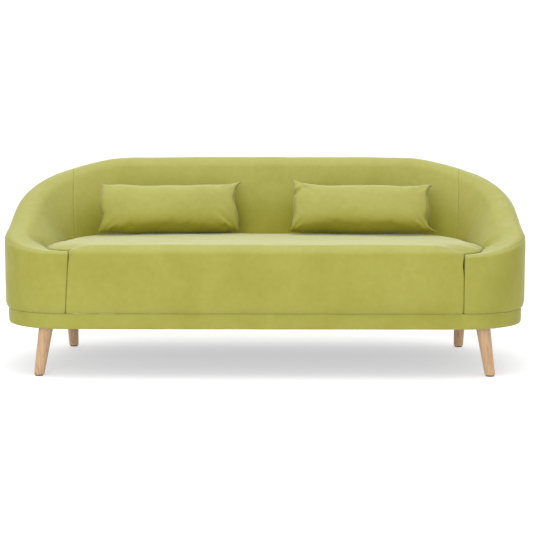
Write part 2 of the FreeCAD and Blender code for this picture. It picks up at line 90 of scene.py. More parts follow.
# place along the outline: top height, thickness at the top and at the seat, outer and inner
# radius, and the height where the seat meets the wall
WALL = {
    0.0: (0.430, 0.034, 0.038, 0.010, 0.012, 0.433),
    S_CORNER + 0.070: (0.433, 0.054, 0.062, 0.012, 0.016, 0.434),
    S_BLOCK: (0.440, 0.086, 0.104, 0.016, 0.026, 0.431),
    S_SIDE: (0.495, 0.104, 0.152, 0.034, 0.040, 0.423),
    S_REAR: (0.571, 0.106, 0.176, 0.042, 0.046, 0.423),
    S_REAR + REAR_ARC / 2: (0.668, 0.108, 0.190, 0.044, 0.050, 0.425),
    S_BACK: (0.717, 0.108, 0.178, 0.044, 0.050, 0.430),
    S_MIDDLE: (0.720, 0.108, 0.166, 0.044, 0.050, 0.4355),
}
RIGHT_DROP = 0.011  # the right arm's front end is padded this much lower than the left's
CREVICE = 0.385  # the inner covers end this low, hidden beside the seat
UNDERCUT = (0.010, 0.026)  # how far the body rounds in above the plinth, and over what height
INNER_BULGE = 0.004
# how far up round the outer edge, in degrees, the seam between the outer and inner covers lies
SEAM_LIFT = {0.16: 50.0, S_SIDE: 20.0, S_REAR + REAR_ARC * 0.35: 42.0, S_BACK + 0.1: 12.0}

# share of the rear arc at which the corner seams stand, and how far the inner ones slant forwards
CORNER_SEAM = 0.60
CORNER_SLANT = 0.36
# the pulls low on the inner arms: place and spread along the outline, height of their foot and
# how far up they fade, pitch and depth
DRAG_PLACE, DRAG_SPREAD = 0.30, 0.10
DRAG_FOOT, DRAG_RISE = 0.428, 0.040
DRAG_PITCH, DRAG_DEPTH = 0.024, 0.0036

# ---- The seat ----
SEAT_FRONT = 0.449
SEAT_FALL = 0.016  # the seat falls this much per unit of depth
FRONT_ROLL = 0.027
SEAT_CROWN = 0.003
CREVICE_DEPTH = 0.006  # the seat's edge dips this much more beside the wall, over this width
CREVICE_WIDTH = 0.004
CREVICE_START = -0.28  # y where that dip begins, growing over the next stretch
CREVICE_GROWTH = 0.08
FRONT_PUFF = 0.003
SEAT_REACH = 0.085  # the seat falls towards the wall over this width
SEAM_LEAN = {-1: 0.013, 1: 0.0}  # how much further out each front seam stands at its foot
SEAM_SHIFT = {-1: 0.0, 1: 0.015}  # how far out of its place each front seam is sewn
# side, height and half height of the open gap in each front seam, and how wide it gapes
SEAM_GAPS = ((-1, 0.412, 0.022, 0.0020), (1, 0.385, 0.026, 0.0042))


# ---- The plinth and the cloth under it ----
PLINTH_TURN = 0.006  # radius at the band's foot
PLINTH_BULGE = 0.0012
PLINTH_WAVE = 0.0010
DUST_INSET = 0.008  # from the band's face to the edge of the cloth under the base
DUST_SAG = 0.007

# ---- Sewing ----
SEAM = 0.0038  # depth of a seam between two tight panels
SOFT_SEAM = 0.0010
GROOVE_WIDTH = 0.0030
SLIT = 0.0005  # half the opening left between two panels
TURN_IN = 0.012
GRID_STEP = 0.007
EDGE_STEP = 0.0012

# ---- Loose cushions: x, y, rise above the seat, turn about Z and lean back in degrees ----
PILLOWS = {
    "left": (-0.350, 0.134, 0.095, 9.0, 21.0),
    "right": (0.348, 0.112, 0.095, -5.0, 25.0),
}
PILLOW_SIZE = (0.532, 0.104, 0.200)
CORNER_ROUND = (0.034, 0.120)  # shares by which the corners are cut back, across and up
PILLOW_GIVE = 0.007  # furthest that the cloth may carry the case from its first shape
# how far each side is drawn in at its middle; how far each corner stands out (right, up); and
# the folds: start (right, up), direction, length, half width and depth
PILLOW_SHAPES = {
    "left": {
        "seed": 3.7,
        "draw_left": 0.006,
        "draw_right": 0.018,
        "draw_top": 0.004,
        "draw_bottom": 0.002,
        "ears": {
            (-1, 1): (-0.003, 0.008),
            (1, 1): (0.006, 0.016),
            (-1, -1): (-0.008, 0),
            (1, -1): (0, 0.006),
        },
        "folds": (
            (0.235, -0.085, 2.45, 0.120, 0.006, 0.007),
            (0.240, -0.075, 2.05, 0.100, 0.005, 0.006),
            (0.215, -0.095, 2.75, 0.120, 0.006, 0.005),
            (0.245, 0.090, 3.55, 0.090, 0.005, 0.005),
            (-0.245, -0.085, 0.75, 0.060, 0.006, 0.005),
            (-0.240, 0.085, -0.65, 0.060, 0.005, 0.004),
        ),
    },
    "right": {
        "seed": 8.3,
        "draw_left": 0.016,
        "draw_right": 0.014,
        "draw_top": 0.002,
        "draw_bottom": 0.006,
        "ears": {
            (-1, 1): (-0.003, 0.032),
            (1, 1): (0.004, 0.008),
            (-1, -1): (-0.006, 0),
            (1, -1): (0.014, 0),
        },
        "folds": (
            (-0.258, 0.044, 0.45, 0.085, 0.008, 0.020),
            (-0.225, 0.090, -0.70, 0.110, 0.008, 0.006),
            (-0.245, -0.090, 0.80, 0.070, 0.006, 0.006),
            (0.245, 0.085, -2.50, 0.070, 0.005, 0.005),
            (0.245, -0.085, 2.40, 0.080, 0.006, 0.007),
            (0.240, -0.080, 2.90, 0.080, 0.005, 0.004),
        ),
    },
}
CLOTH_FRAMES = 24
CLOTH_PRESSURE = 3.0

# ---- Legs: share of the way up and share of the radius there, with both edges eased ----
LEG_PROFILE = [(0.0, 0.0), (0.0, 0.86), (0.004, 0.95), (0.010, 1.0)]
LEG_PROFILE += [(t, 1.0) for t in (0.05, 0.2, 0.4, 0.6, 0.8, 0.93, 0.985)]
LEG_PROFILE += [(0.995, 0.975), (1.0, 0.93), (1.0, 0.0)]
LEG_SIDES = 56

# ---- Velvet: the pile's colours, the painted light for up-facing surfaces, and the painted shade tint where little light comes in ----
VELVET_DEEP = (0.256, 0.246, 0.046)
VELVET_LIT = (0.288, 0.279, 0.060)
VELVET_PAINTED_LIGHT = (0.355, 0.353, 0.130, 1.0)
VELVET_PAINTED_SHADE = (0.86, 0.83, 0.32)

# ---- Camera, floor and light ----
CAMERA_PLACE = (0.050, LOW.y - 4.470, 0.884)
CAMERA_TILT = math.radians(90 - 6.41)
CAMERA_TURN = 0.0093
CAMERA_LENS = 91.9
FLOOR_REACH = 400.0
FLOOR_GLOW = 0.45  # keeps the shadow under the sofa faint
WORLD_STRENGTH = 1.1
# place, target, size and power of each light
LIGHTS = {
    "overhead": ((0, -0.6, 3.2), (0, -0.1, 0.3), (1.8, 1.8), 34),
    "front": ((-1.2, -5.2, 1.6), (0, 0, 0.4), (3.0, 1.6), 110),
}


# ---- Small helpers ----
def smooth(t):
    t = np.clip(t, 0.0, 1.0)
    return t * t * (3 - 2 * t)


def bell(x, centre, width):
    return np.exp(-(((x - centre) / width) ** 2))


def random_field(points, size, seed):
    """Smooth noise from about -1 to 1 at an array of points, with features of that size."""
    shift = Vector((seed * 7.31, seed * 3.17, seed * 5.71))
    flat = points.reshape(-1, 3) / size
    values = [noise.noise(Vector(p) + shift) for p in flat]
    return np.array(values).reshape(points.shape[:-1])


def graded(length, step=GRID_STEP, edge=EDGE_STEP):
    """Places from 0 to length, close together at both ends and a step apart between."""
    places = [0.0]
    gap = edge
    while places[-1] + gap < length / 2:
        places.append(places[-1] + gap)
        gap = min(gap * 1.35, step)
    return np.array(places + [length - p for p in reversed(places)])


# ---- The outline and its sections ----
def outline(s):
    """x, y and the inward normal of the outline, at an array of distances s."""
    s = np.asarray(s, float)
    right = s > S_MIDDLE
    d = np.where(right, S_END - s, s)
    front = np.clip((d - S_CORNER) / FRONT_RADIUS, 0, math.pi / 2)
    rear = np.clip((d - S_REAR) / REAR_RADIUS, 0, math.pi / 2)
    x = -SEAM_X - np.minimum(d, S_CORNER) - FRONT_RADIUS * np.sin(front)
    x = x + REAR_RADIUS * (1 - np.cos(rear)) + np.clip(d - S_BACK, 0, None)
    y = LOW.y + FRONT_RADIUS * (1 - np.cos(front)) + REAR_RADIUS * np.sin(rear)
    y = y + np.clip(d - S_SIDE, 0, S_REAR - S_SIDE)
    sign = np.where(right, -1.0, 1.0)
    return x * sign, y, np.sin(front + rear) * sign, np.cos(front + rear)


def wall(s):
    """Columns top, crest, foot, outer and inner radius and seat line at s, without overshoot.

    The top and the seat line sink a little towards the front of the right arm.
    """
    s = np.asarray(s, float)
    d = np.clip(np.where(s > S_MIDDLE, S_END - s, s), 0, S_MIDDLE)
    places = np.array(list(WALL))
    values = np.array(list(WALL.values()))
    rises = np.diff(values, axis=0) / np.diff(places)[:, None]
    slopes = np.zeros_like(values)
    before, after = rises[:-1], rises[1:]
    same = before * after > 0
    total = np.where(same, before + after, 1.0)
    slopes[1:-1] = np.where(same, 2 * before * after / total, 0.0)
    i = np.clip(np.searchsorted(places, d, side="right") - 1, 0, len(places) - 2)
    span = (places[i + 1] - places[i])[:, None]
    u = (d - places[i])[:, None] / span
    a = 2 * u**3 - 3 * u**2 + 1
    curve = a * values[i] + (u**3 - 2 * u**2 + u) * span * slopes[i]
    columns = (curve + (1 - a) * values[i + 1] + (u**3 - u**2) * span * slopes[i + 1]).T
    drop = RIGHT_DROP * smooth((s - S_END + 0.35) / 0.35)
    columns[[0, -1]] -= drop
    return columns


def at(s, n, z):
    """Points of space from distances s, insets n and heights z, all of one shape."""
    x, y, nx, ny = outline(s)
    return np.stack([x + nx * n, y + ny * n, z + 0 * x], axis=-1)


def arc(centre_n, centre_z, r, a0, a1, count=12):
    """Arcs about centres given for each s, between two angles in radians that may vary with s."""
    t = np.linspace(0, 1, count)[None, :]
    a = np.reshape(a0, (-1, 1)) + (np.reshape(a1, (-1, 1)) - np.reshape(a0, (-1, 1))) * t
    r = np.reshape(r, (-1, 1))
    n = np.reshape(centre_n, (-1, 1)) + r * np.cos(a)
    z = np.reshape(centre_z, (-1, 1)) + r * np.sin(a)
    return np.stack([n, z], axis=-1)


def seam_angle(s):
    """Where the seam between outer and inner cover lies on the outer edge."""
    d = np.where(np.asarray(s) > S_MIDDLE, S_END - s, s)
    lift = np.zeros_like(d)
    places = list(SEAM_LIFT)
    lift += SEAM_LIFT[places[0]]
    for before, after in zip(places, places[1:]):
        step = smooth((d - before) / (after - before))
        lift += (SEAM_LIFT[after] - SEAM_LIFT[before]) * step
    return math.pi - np.radians(lift)


def outer_section(s):
    top, _, _, ro, _, _ = wall(s)
    ones = np.ones_like(top)
    t = np.linspace(math.pi * 1.5, math.pi, 10)[None, :]
    n = UNDERCUT[0] * (1 + np.cos(t)) * ones[:, None]
    z = BASE_TOP + UNDERCUT[1] * (1 + np.sin(t)) * ones[:, None]
    tuck = np.stack([n, z], axis=-1)
    edge = arc(ro, top - ro, ro, math.pi * ones, seam_angle(s))
    return np.concatenate([tuck, edge], axis=1)


def inner_section(s):
    top, crest, foot, ro, ri, line = wall(s)
    line = np.minimum(line, top - 0.5 * ri)
    start = arc(ro, top - ro, ro, seam_angle(s), math.pi / 2 * np.ones_like(top))
    # the inner edge's arc ends where its tangent passes through the foot
    dn, dz = foot - (crest - ri), line - (top - ri)
    reach = np.hypot(dn, dz)
    lean = np.arctan2(dz, dn) + np.arccos(np.clip(ri / reach, -1, 1))
    edge = arc(crest - ri, top - ri, ri, math.pi / 2 * np.ones_like(top), np.clip(lean, 0.0, 1.5))
    t = np.linspace(0.08, 1, 14)[None, :, None]
    a = edge[:, -1:, :]
    b = np.stack([foot, line], axis=-1)[:, None, :]
    slope = a + (b - a) * t
    out = np.stack([-(b - a)[..., 1], (b - a)[..., 0]], axis=-1)
    length = np.linalg.norm(out, axis=-1, keepdims=True)
    slope = slope + out / length * np.sin(math.pi * t) * INNER_BULGE * np.clip(length / 0.2, 0, 1)
    drop = np.stack([foot + 0.002, np.full_like(foot, CREVICE)], axis=-1)[:, None, :]
    return np.concatenate([start, edge, slope, drop], axis=1)


def resample(section, places):
    """Each row's polyline, read at the given shares of its length."""
    rows = []
    for line in section:
        steps = np.linalg.norm(np.diff(line, axis=0), axis=1)
        length = np.concatenate([[0], np.cumsum(steps)])
        rows.append([np.interp(places * length[-1], length, line[:, k]) for k in (0, 1)])
    return np.moveaxis(np.array(rows), 1, 2)


def mean_length(section):
    return float(np.linalg.norm(np.diff(section, axis=1), axis=2).sum(axis=1).mean())


# ---- Grids to meshes ----
def grid_normals(points):
    du = np.gradient(points, axis=0)
    dv = np.gradient(points, axis=1)
    normal = np.cross(du, dv)
    return normal / np.maximum(np.linalg.norm(normal, axis=-1, keepdims=True), 1e-12)


def edge_distance(points):
    """Distance of every grid point from the grid's nearest border, along its own row or column."""
    across = np.linalg.norm(np.diff(points, axis=0), axis=-1)
    along = np.linalg.norm(np.diff(points, axis=1), axis=-1)
    zero_row = np.zeros((1, points.shape[1]))
    zero_column = np.zeros((points.shape[0], 1))
    u = np.concatenate([zero_row, np.cumsum(across, axis=0)], axis=0)
    v = np.concatenate([zero_column, np.cumsum(along, axis=1)], axis=1)
    return u, u[-1:] - u, v, v[:, -1:] - v


def sew(points, outward, depths, seed=1):
    """Sinks the grid's borders into grooves of the given depths, with small puckers beside them."""
    pucker = random_field(points, 0.014, seed)
    push = np.zeros(points.shape[:2])
    for near, depth in zip(edge_distance(points), depths):
        push -= depth * np.exp(-((near / GROOVE_WIDTH) ** 1.3))
        push += 0.12 * depth * pucker * np.exp(-near / 0.012)
    return points + outward * push[..., None]


def turned_in(points, outward):
    """The grid with one more row on every side, folded inwards behind the border."""
    inward = points - outward * TURN_IN
    grown = np.concatenate([inward[:1], points, inward[-1:]], axis=0)
    inward = np.concatenate([inward[:1], inward, inward[-1:]], axis=0)
    return np.concatenate([inward[:, :1], grown, inward[:, -1:]], axis=1)


def add_mesh(name, vertices, faces, material):
    mesh = bpy.data.meshes.new(name)
    mesh.from_pydata(vertices, [], faces)
    mesh.polygons.foreach_set("use_smooth", [True] * len(mesh.polygons))
    mesh.update()
    piece = bpy.data.objects.new(name, mesh)
    bpy.context.scene.collection.objects.link(piece)
    mesh.materials.append(material)
    return piece


def grid_faces(rows, columns, flip=False, closed=False):
    """Faces of a grid of vertices; a closed grid's last row joins its first."""
    index = np.arange(rows * columns).reshape(rows, columns)
    if closed:
        index = np.concatenate([index, index[:1]])
    corners = [index[:-1, :-1], index[1:, :-1], index[1:, 1:], index[:-1, 1:]]
    if flip:
        corners.reverse()
    return np.stack(corners, axis=-1).reshape(-1, 4).tolist()


def grid_piece(name, points, material, flip=False):
    rows, columns = points.shape[:2]
    return add_mesh(name, points.reshape(-1, 3).tolist(), grid_faces(rows, columns, flip), material)


# ---- Node helpers for materials ----
class Nodes:
    """A material under construction, with short calls for the nodes that all of them use."""

    def __init__(self, name):
        self.material = bpy.data.materials.new(name)
        self.material.use_nodes = True
        self.tree = self.material.node_tree
        self.shader = self.tree.nodes["Principled BSDF"]
        self.place = self.tree.nodes.new("ShaderNodeTexCoord").outputs["Object"]

    def node(self, kind, links=(), **settings):
        made = self.tree.nodes.new(kind)
        for key, value in settings.items():
            setattr(made, key, value)
        for socket, value in dict(links).items():
            self.put(made.inputs[socket], value)
        return made

    def put(self, socket, value):
        if isinstance(value, bpy.types.NodeSocket):
            self.tree.links.new(value, socket)
        else:
            socket.default_value = value

    def stretched(self, scale):
        links = {"Vector": self.place, "Scale": scale}
        return self.node("ShaderNodeMapping", links).outputs["Vector"]

    def noise(self, scale, detail=3.0, roughness=0.5, vector=None, distortion=0.0):
        links = {
            "Vector": vector or self.place,
            "Scale": scale,
            "Detail": detail,
            "Roughness": roughness,
            "Distortion": distortion,
        }
        return self.node("ShaderNodeTexNoise", links).outputs["Fac"]

    def ramp(self, value, stops):
        made = self.node("ShaderNodeValToRGB", {"Fac": value})
        elements = made.color_ramp.elements
        while len(elements) < len(stops):
            elements.new(0.5)
        for element, (position, colour) in zip(elements, stops):
            element.position = position
            element.color = (*colour, 1.0)
        return made.outputs["Color"]

    def shares(self, value, stops):
        return self.ramp(value, [(place, (share, share, share)) for place, share in stops])

    def mix(self, factor, a, b, mode="MIX"):
        made = self.node("ShaderNodeMix", data_type="RGBA", blend_type=mode)
        for socket, value in ((made.inputs[0], factor), (made.inputs[6], a), (made.inputs[7], b)):
            self.put(socket, value)
        return made.outputs[2]

    def math(self, operation, a, b=0.0):
        return self.node("ShaderNodeMath", {0: a, 1: b}, operation=operation).outputs[0]

    def bump(self, height, distance, strength=1.0, normal=None):
        links = {"Height": height, "Distance": distance, "Strength": strength}
        if normal is not None:
            links["Normal"] = normal
        return self.node("ShaderNodeBump", links).outputs["Normal"]

    def finish(self, **sockets):
        for name, value in sockets.items():
            self.put(self.shader.inputs[name.replace("_", " ")], value)
        return self.material


def velvet(name):
    """Short-pile velvet: mottled by the way the nap lies, with painted light that makes it paler where it
    faces up and painted shade that darkens and saturates it where its surroundings shut light out."""
    m = Nodes(name)
    nap = m.noise(7.0, 3.0, 0.5, distortion=0.4)
    patches = m.noise(45.0, 3.0, 0.6)
    fibres = m.noise(900.0, 2.0, 0.7)
    deep = m.ramp(nap, [(0.30, VELVET_DEEP), (0.70, VELVET_LIT)])
    # painted shade: ambient occlusion darkens and saturates the base colour in crevices, corners and low on
    # the walls
    nearby = m.node("ShaderNodeAmbientOcclusion", {"Distance": 0.24}, samples=8)
    painted_shade = m.ramp(nearby.outputs["AO"], [(0.22, VELVET_PAINTED_SHADE), (0.80, (1.0, 1.0, 1.0))])
    deep = m.mix(1.0, deep, painted_shade, "MULTIPLY")
    # painted light: surfaces facing up, and slopes open to the sky, are blended towards a paler colour as if
    # lit from above
    coordinates = m.tree.nodes.new("ShaderNodeTexCoord")
    facing = m.node("ShaderNodeSeparateXYZ", {0: coordinates.outputs["Normal"]}).outputs["Z"]
    slopes = m.shares(facing, ((0.05, 0.0), (0.45, 0.36), (0.80, 0.52)))
    opened = m.shares(nearby.outputs["AO"], ((0.55, 0.05), (0.86, 1.0)))
    tops = m.shares(facing, ((0.78, 0.0), (1.0, 1.0)))
    painted_light_share = m.math("MAXIMUM", m.math("MULTIPLY", slopes, opened), tops)
    colour = m.mix(painted_light_share, deep, VELVET_PAINTED_LIGHT)
    fine = m.ramp(patches, [(0.25, (0.96, 0.96, 0.94)), (0.75, (1.04, 1.04, 1.06))])
    colour = m.mix(1.0, colour, fine, "MULTIPLY")
    pile = m.ramp(fibres, [(0.30, (0.88, 0.88, 0.86)), (0.70, (1.12, 1.12, 1.12))])
    colour = m.mix(0.6, colour, m.mix(1.0, colour, pile, "MULTIPLY"))
    normal = m.bump(fibres, 0.0004, 0.5, m.bump(patches, 0.0010, 0.4))
    m.shader.inputs["Sheen Weight"].default_value = 0.30
    m.shader.inputs["Sheen Roughness"].default_value = 0.3
    m.shader.inputs["Sheen Tint"].default_value = (0.96, 1.0, 0.86, 1.0)
    m.shader.inputs["Specular IOR Level"].default_value = 0.15
    return m.finish(Base_Color=colour, Roughness=0.95, Normal=normal)


def wood(name, pale, deep, ring, grain, gloss, scale=1.0):
    """Timber with its grain along Z: bowed growth rings, fine pores and small colour shifts."""
    m = Nodes(name)
    along = m.stretched((34.0 * scale, 34.0 * scale, 2.6 * scale))
    wobble = m.noise(1.0, 3.0, 0.55, vector=along, distortion=1.2)
    rings = m.math("FRACT", m.math("MULTIPLY", wobble, ring))
    streaks = m.noise(1.0, 4.0, 0.7, vector=m.stretched((420.0, 420.0, 9.0)))
    pores = m.noise(1.0, 2.0, 0.6, vector=m.stretched((1500.0, 1500.0, 60.0)))
    colour = m.ramp(rings, [(0.0, deep), (0.22, pale), (0.80, pale), (1.0, deep)])
    shade = m.ramp(streaks, [(0.30, (0.84, 0.80, 0.76)), (0.62, (1.04, 1.04, 1.04))])
    colour = m.mix(grain, colour, m.mix(1.0, colour, shade, "MULTIPLY"))
    dots = m.ramp(pores, [(0.28, (0.70, 0.62, 0.55)), (0.40, (1.0, 1.0, 1.0))])
    colour = m.mix(grain * 0.6, colour, m.mix(1.0, colour, dots, "MULTIPLY"))
    normal = m.bump(streaks, 0.0003, 0.35)
    return m.finish(Base_Color=colour, Roughness=gloss, Normal=normal)


def speckled(name, pale, deep, scale, depth, roughness, metallic=0.0):
    """A plain stuff with a grain of its own: foam, fleece, felt, board, plated steel or nylon."""
    m = Nodes(name)
    grain = m.noise(scale, 4.0, 0.65)
    broad = m.noise(scale * 0.06, 3.0, 0.5)
    colour = m.ramp(grain, [(0.32, deep), (0.66, pale)])
    stain = m.ramp(broad, [(0.30, (0.90, 0.90, 0.90)), (0.70, (1.05, 1.05, 1.05))])
    colour = m.mix(1.0, colour, stain, "MULTIPLY")
    rough = m.math("ADD", m.math("MULTIPLY", grain, 0.15), roughness - 0.07)
    return m.finish(
        Base_Color=colour,
        Roughness=rough,
        Metallic=metallic,
        Normal=m.bump(grain, depth, 0.6),
    )


def make_materials():
    return {
        "velvet": velvet("lime_velvet"),
        "oak": wood("lacquered_oak", (0.47, 0.305, 0.165), (0.36, 0.215, 0.105), 5.0, 0.85, 0.42),
        "pine": wood("sawn_pine", (0.66, 0.47, 0.26), (0.50, 0.30, 0.14), 4.0, 0.6, 0.7, 0.4),
        "ply": wood("plywood", (0.56, 0.40, 0.23), (0.44, 0.29, 0.15), 6.0, 0.5, 0.65, 0.3),
        "fibreboard": speckled("fibreboard", (0.28, 0.18, 0.10), (0.16, 0.10, 0.05), 900, 0.0002, 0.7),
        "foam": speckled("cut_foam", (0.85, 0.78, 0.50), (0.70, 0.60, 0.34), 1400, 0.0006, 0.95),
        "wadding": speckled("fleece", (0.88, 0.88, 0.86), (0.72, 0.72, 0.70), 300, 0.0020, 0.95),
        "felt": speckled("felt_pad", (0.22, 0.21, 0.20), (0.10, 0.10, 0.10), 500, 0.0010, 0.95),
        "dust_cloth": speckled("dust_cloth", (0.016, 0.016, 0.017), (0.006, 0.006, 0.006), 700, 0.0002, 0.9),
        "steel": speckled("zinc_plate", (0.72, 0.73, 0.75), (0.55, 0.56, 0.58), 260, 0.0001, 0.35, 1.0),
        "spring_steel": speckled(
            "spring_wire", (0.30, 0.30, 0.31), (0.16, 0.16, 0.17), 600, 0.0001, 0.4, 1.0
        ),
        "nylon": speckled("black_nylon", (0.035, 0.035, 0.036), (0.02, 0.02, 0.02), 800, 0.0001, 0.5),
    }


MATERIALS = make_materials()


def dress(piece, body, slot, fill=None, *nodes):
    """Puts a piece on its body in place of its CAD nodes."""
    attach(piece, body)
    if nodes:
        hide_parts(*nodes)
    return piece


# ---- The wall's covers ----
def wall_panel(section_of, start, end):
    """Grid of a cover whose ends lie at start(v) and end(v) on the outline, v being the share of
    the way up (or, inside, down) the section."""
    rough = np.linspace(start(0.5), end(0.5), 60)
    places = graded(mean_length(section_of(rough)))
    shares = places / places[-1]
    first, last = start(shares) + SLIT, end(shares) - SLIT
    u = graded(float((last - first).max()))
    u = u / u[-1]
    s = first[None, :] + (last - first)[None, :] * u[:, None]
    dense = np.linspace(s.min(), s.max(), 400)
    table = resample(section_of(dense), shares)
    n, z = (
        np.stack([np.interp(s[:, j], dense, table[:, j, k]) for j in range(len(shares))], axis=1)
        for k in (0, 1)
    )
    return s, at(s, n, z)


def uneven(points, outward, size, depth, seed):
    """A gentle unevenness of the cover over its padding."""
    field = random_field(points, size, seed) + 0.4 * random_field(points, size / 2.6, seed + 1)
    near = np.minimum.reduce(edge_distance(points))
    return points + outward * (field * depth * smooth(near / 0.04))[..., None]


def drag_lines(points, outward, s, seed):
    """Upright pulls in the inner arm cover just above the seat, strongest by its front end."""
    d = np.where(s > S_MIDDLE, S_END - s, s)
    wave = np.sin(d * 2 * math.pi / DRAG_PITCH + 2.2 * random_field(points, 0.09, seed))
    above = points[..., 2] - DRAG_FOOT
    mask = bell(d, DRAG_PLACE, DRAG_SPREAD) * smooth(above / 0.008) * bell(above, 0.0, DRAG_RISE)
    # none on the top of the arm
    mask = mask * smooth((0.93 - outward[..., 2]) / 0.15)
    return points + outward * (DRAG_DEPTH * wave * mask)[..., None]


def finish_panel(name, points, outward, depths, seed, flip=True):
    points = sew(points, outward, depths, seed)
    return grid_piece(name, turned_in(points, outward), MATERIALS["velvet"], flip)


def constant(place):
    return lambda v: place + 0 * np.asarray(v, float)


def inner_seam(side):
    """The seam between an inner arm cover and the inner back cover slants forwards as it falls."""

    def place(v):
        d = S_REAR + REAR_ARC * (CORNER_SEAM - CORNER_SLANT * np.asarray(v, float))
        return d if side < 0 else S_END - d

    return place


def front_seam(side):
    """The front seam of an arm leans out towards its foot."""

    def place(v):
        d = SEAM_SHIFT[side] + SEAM_LEAN[side] * (1 - np.asarray(v, float))
        return d if side < 0 else S_END - d

    return place


def add_wall_covers():
    outer_seam = S_REAR + REAR_ARC * CORNER_SEAM
    for side, name in ((-1, "left"), (1, "right")):
        ends = [front_seam(side), constant(outer_seam if side < 0 else S_END - outer_seam)]
        front = (SEAM, SOFT_SEAM) if side < 0 else (SOFT_SEAM, SEAM)
        _, points = wall_panel(outer_section, *ends[::-side])
        outward = -grid_normals(points)
        points = uneven(points, outward, size=0.16, depth=0.0012, seed=5 + side)
        piece = finish_panel("outer_arm_velvet_" + name, points, outward, (*front, 0, SOFT_SEAM), 3)
        dress(piece, "sofa", "velvet", 0.9, "outer_arm_cover_" + name)

        ends = [constant(SEAM_SHIFT[-1] if side < 0 else S_END - SEAM_SHIFT[1]), inner_seam(side)]
        s, points = wall_panel(inner_section, *ends[::-side])
        outward = -grid_normals(points)
        points = uneven(points, outward, size=0.11, depth=0.0018, seed=10 + side)
        points = drag_lines(points, outward, s, 20 + side)
        piece = finish_panel("inner_arm_velvet_" + name, points, outward, (*front, SOFT_SEAM, 0), 4)
        under = ["%s_%s" % (part, name) for part in ("arm_wadding", "arm_foam", "arm_front_foam")]
        dress(piece, "sofa", "velvet", 0.9, "inner_arm_cover_" + name, *under)

    _, points = wall_panel(outer_section, constant(outer_seam), constant(S_END - outer_seam))
    outward = -grid_normals(points)
    points = uneven(points, outward, size=0.2, depth=0.0012, seed=15)
    piece = finish_panel("outer_back_velvet", points, outward, (SOFT_SEAM, SOFT_SEAM, 0, SOFT_SEAM), 6)
    dress(piece, "sofa", "velvet", 0.9, "outer_back_cover")

    _, points = wall_panel(inner_section, inner_seam(-1), inner_seam(1))
    outward = -grid_normals(points)
    points = uneven(points, outward, size=0.14, depth=0.0016, seed=18)
    piece = finish_panel("inner_back_velvet", points, outward, (SOFT_SEAM, SOFT_SEAM, SOFT_SEAM, 0), 7)
    dress(piece, "sofa", "velvet", 0.9, "inner_back_cover", "back_wadding", "back_foam")


# ---- The seat ----
def seat_top(y):
    return SEAT_FRONT - SEAT_FALL * (y - LOW.y)


def seat_contour():
    """Points of the line where the seat meets the arms and the back, from front to front."""
    s = np.concatenate([np.linspace(0.0, S_MIDDLE, 700), np.linspace(S_MIDDLE, S_END, 700)[1:]])
    _, _, foot, _, _, line = wall(s)
    contour = at(s, foot, line)
    ends = np.linspace(contour[0], contour[0] - Vector((0, contour[0][1] - LOW.y, 0)), 40)[1:]
    mirrored = ends * np.array([-1, 1, 1]) + np.array([SEAM_SHIFT[1], 0, -RIGHT_DROP])
    return np.concatenate([ends[::-1], contour, mirrored])


def seat_edge(points, contour):
    """Distance in plan from an array of points to the seat's contour, and the contour's height."""
    flat = points.reshape(-1, 3)
    near = np.empty(len(flat))
    height = np.empty(len(flat))
    for i in range(0, len(flat), 2000):
        part = flat[i : i + 2000, None, :2] - contour[None, :, :2]
        square = (part**2).sum(axis=2)
        nearest = square.argmin(axis=1)
        near[i : i + 2000] = np.sqrt(square[np.arange(len(nearest)), nearest])
        height[i : i + 2000] = contour[nearest, 2]
    shape = points.shape[:-1]
    return near.reshape(shape), height.reshape(shape)


def seat_profile():
    """Side view of the seat's cover: y from the front and z, evenly stepped."""
    rise = SEAT_FRONT - FRONT_ROLL
    turn = np.linspace(1.5 * math.pi, math.pi, 8)
    tuck = [UNDERCUT[0] * (1 + np.cos(turn)), BASE_TOP + UNDERCUT[1] * (1 + np.sin(turn))]
    turn = np.linspace(math.pi, math.pi / 2, 16)
    over = [FRONT_ROLL * (1 + np.cos(turn)), rise + FRONT_ROLL * np.sin(turn)]
    back = DEPTH - wall(np.array([S_MIDDLE]))[2][0] - 0.0015
    run = np.linspace(FRONT_ROLL + 0.01, back, 40)
    flat = [run, SEAT_FRONT - SEAT_FALL * run]
    profile = np.concatenate([np.stack(part, axis=1) for part in (tuck, over, flat)])[None]
    places = graded(mean_length(profile))
    return resample(profile, places / places[-1])[0].T


